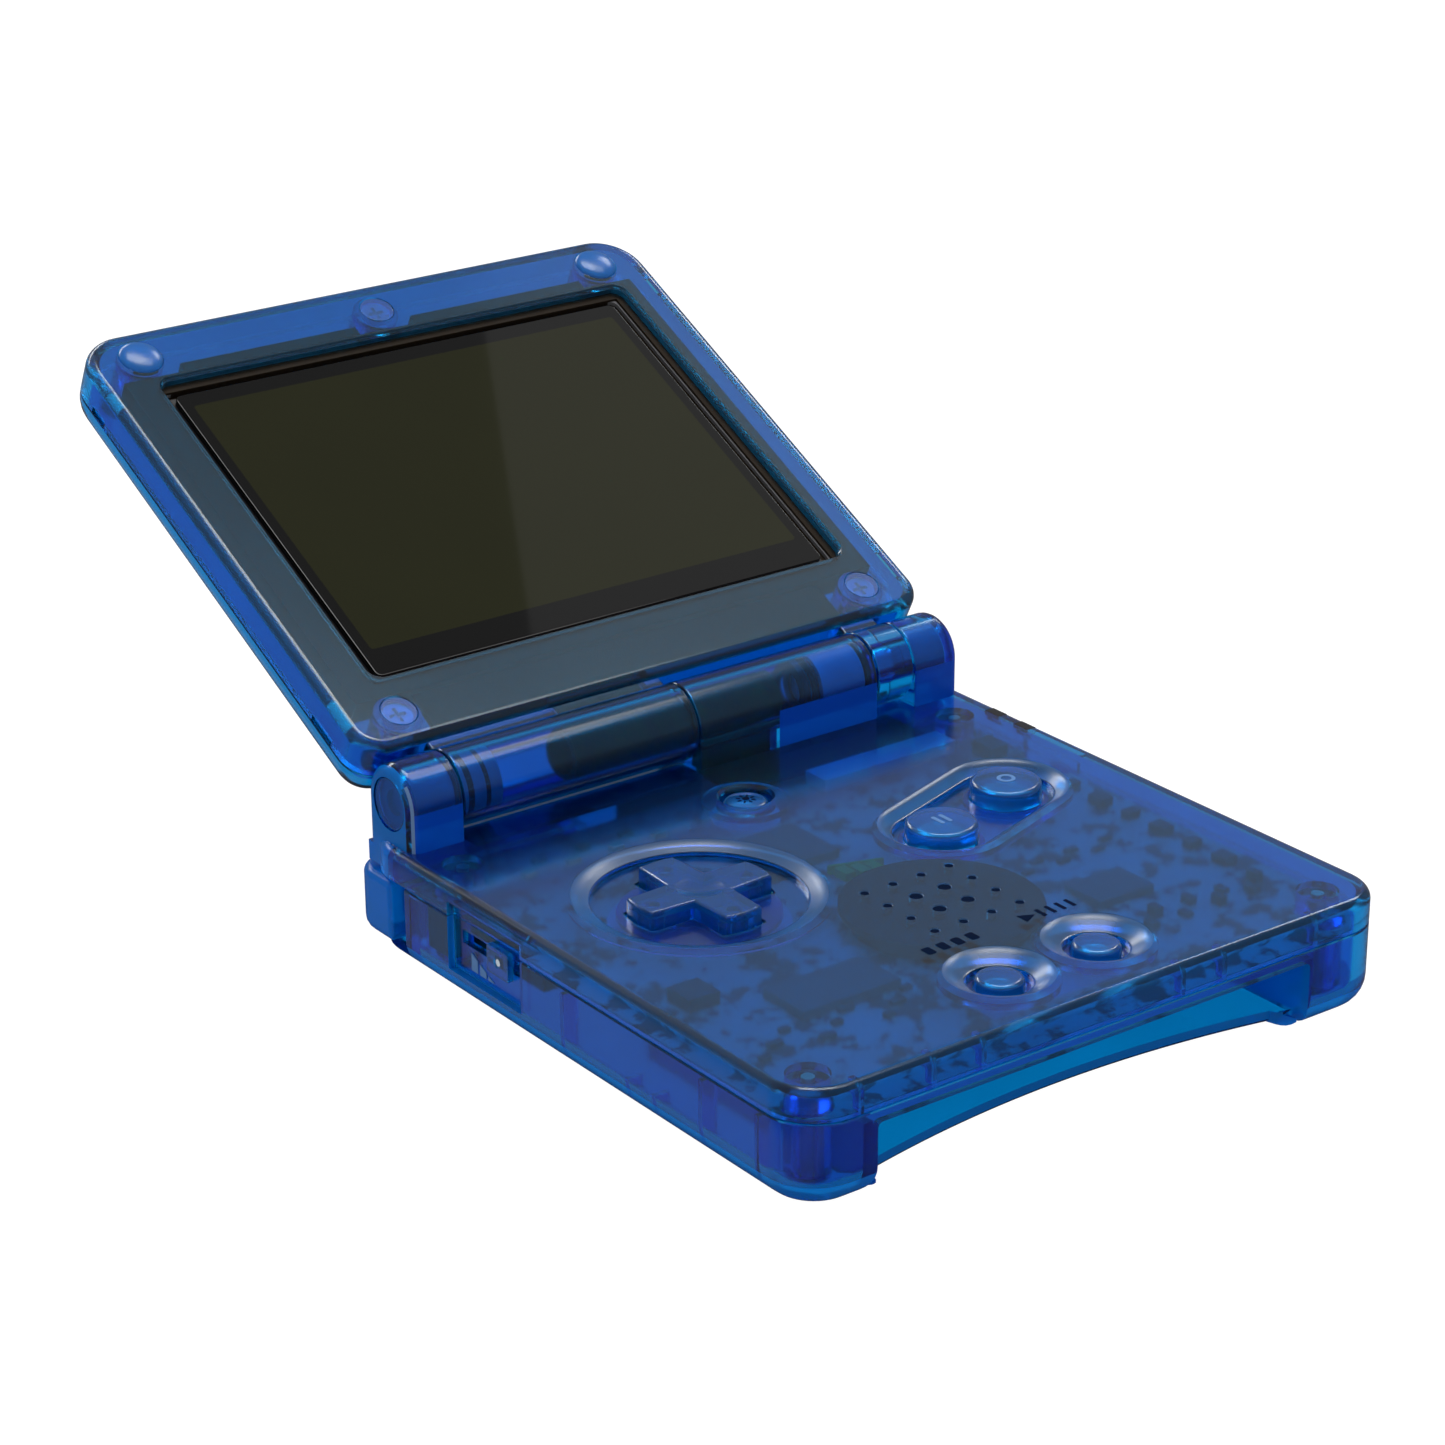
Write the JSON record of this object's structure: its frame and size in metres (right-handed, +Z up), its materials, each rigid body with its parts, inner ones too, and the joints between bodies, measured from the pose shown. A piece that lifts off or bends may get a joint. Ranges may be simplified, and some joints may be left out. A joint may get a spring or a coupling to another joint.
{
  "type": "handheld lcd game",
  "caption": "Clamshell handheld game with a hinged colour screen, direction pad, round keys, shoulder buttons, side sliders and a cartridge slot in its front edge.",
  "frame": {"origin": "centre of the base's underside, on the surface that the console stands on", "axes": "+X to the player's right, +Y from the front edge to the hinge, +Z up from the underside"},
  "size_m": [0.082, 0.149, 0.0564],
  "materials": {
    "case_blue": "translucent satin blue",
    "key_blue": "translucent gloss blue",
    "screw_steel": "zinc plated",
    "pin_steel": "turned",
    "dome_metal": "thin sheet",
    "battery_grey": "satin",
    "contact_gold": "plated",
    "board_green": "solder mask",
    "shield_metal": "pressed sheet",
    "chip_black": "moulded",
    "part_tan": "ceramic",
    "speaker_black": "moulded",
    "gasket_grey": "felt",
    "socket_black": "moulded",
    "hinge_grey": "moulded",
    "indicator_lens": "smoked",
    "led_white": "diffuse",
    "connector_white": "moulded",
    "flex_green": "polyimide film",
    "screen_glass": "polished",
    "lcd_dark": "polariser film",
    "frame_grey": "satin",
    "guide_white": "light guide"
  },
  "bodies": {
    "base": {"base_top_shell": "case_blue", "base_bottom_shell": "case_blue", "battery_door": "case_blue", "battery_door_screw": "screw_steel", "battery_pack": "battery_grey", "battery_contacts": "contact_gold", "main_board": "board_green", "board_shield": "shield_metal", "main_processor": "chip_black", "memory_chip": "chip_black", "audio_chip": "chip_black", "board_components": "part_tan", "speaker": "speaker_black", "speaker_gasket": "gasket_grey", "cartridge_connector": "socket_black", "connector_pins": "contact_gold", "dpad_membrane": "dome_metal", "action_membrane": "dome_metal", "start_select_membrane": "dome_metal", "light_membrane": "dome_metal", "volume_pot": "socket_black", "power_switch": "socket_black", "shoulder_pins": "pin_steel", "shoulder_springs": "pin_steel", "shoulder_switches": "socket_black", "link_port": "socket_black", "power_inlet": "socket_black", "indicator_windows": "indicator_lens", "indicator_leds": "led_white", "case_screws": "screw_steel", "hinge_end_plugs": "key_blue", "hinge_click_unit": "hinge_grey", "hinge_bush": "hinge_grey", "display_connector": "connector_white", "display_ribbon": "flex_green"},
    "lid": {"lid_front_shell": "case_blue", "lid_back_shell": "case_blue", "screen_lens": "screen_glass", "lcd_panel": "lcd_dark", "lcd_frame": "frame_grey", "light_guide": "guide_white", "lid_board": "board_green", "lid_screws": "screw_steel", "screw_covers": "key_blue", "lid_bumpers": "key_blue", "hinge_cam": "pin_steel", "hinge_pin": "pin_steel", "lid_ribbon": "flex_green"},
    "dpad_rocker": {"dpad_pivot": "dome_metal"},
    "direction_pad": {"dpad_cross": "key_blue"},
    "a_key": {"a_button": "key_blue"},
    "b_key": {"b_button": "key_blue"},
    "start_key": {"start_button": "key_blue"},
    "select_key": {"select_button": "key_blue"},
    "light_key": {"light_button": "key_blue"},
    "volume_knob": {"volume_slider": "key_blue"},
    "power_knob": {"power_slider": "key_blue"},
    "left_shoulder": {"left_shoulder_button": "key_blue"},
    "right_shoulder": {"right_shoulder_button": "key_blue"}
  },
  "joints": [
    {"name": "lid_hinge", "type": "hinge", "parent": "base", "child": "lid", "pos_m": [0, 0.0363, 0.0185], "axis": [1, 0, 0], "range_deg": [-9.5, 153.5]},
    {"name": "dpad_tilt_side", "type": "hinge", "parent": "base", "child": "dpad_rocker", "pos_m": [-0.0199, 0.0046, 0.0103], "axis": [0, 1, 0], "range_deg": [-3, 3], "stiffness_Nm_per_rad": 0.06},
    {"name": "dpad_tilt_front", "type": "hinge", "parent": "dpad_rocker", "child": "direction_pad", "pos_m": [-0.0199, 0.0046, 0.0103], "axis": [1, 0, 0], "range_deg": [-3, 3], "stiffness_Nm_per_rad": 0.06},
    {"name": "a_press", "type": "slide", "parent": "base", "child": "a_key", "axis": [0, 0, -1], "range_m": [0, 0.0008], "stiffness_N_per_m": 400, "springref_m": -0.0005},
    {"name": "b_press", "type": "slide", "parent": "base", "child": "b_key", "axis": [0, 0, -1], "range_m": [0, 0.0008], "stiffness_N_per_m": 400, "springref_m": -0.0005},
    {"name": "start_press", "type": "slide", "parent": "base", "child": "start_key", "axis": [0, 0, -1], "range_m": [0, 0.0008], "stiffness_N_per_m": 400, "springref_m": -0.0005},
    {"name": "select_press", "type": "slide", "parent": "base", "child": "select_key", "axis": [0, 0, -1], "range_m": [0, 0.0008], "stiffness_N_per_m": 400, "springref_m": -0.0005},
    {"name": "light_press", "type": "slide", "parent": "base", "child": "light_key", "axis": [0, 0, -1], "range_m": [0, 0.0008], "stiffness_N_per_m": 400, "springref_m": -0.0005},
    {"name": "volume_slide", "type": "slide", "parent": "base", "child": "volume_knob", "axis": [0, 1, 0], "range_m": [-0.002, 0.0065]},
    {"name": "power_slide", "type": "slide", "parent": "base", "child": "power_knob", "axis": [0, 1, 0], "range_m": [0, 0.003]},
    {"name": "left_shoulder_press", "type": "hinge", "parent": "base", "child": "left_shoulder", "pos_m": [-0.019, 0.0382, 0.005], "axis": [0, 0, 1], "range_deg": [0, 3], "stiffness_Nm_per_rad": 0.15, "springref_deg": -1.72},
    {"name": "right_shoulder_press", "type": "hinge", "parent": "base", "child": "right_shoulder", "pos_m": [0.019, 0.0382, 0.005], "axis": [0, 0, -1], "range_deg": [0, 3], "stiffness_Nm_per_rad": 0.15, "springref_deg": -1.72}
  ]
}
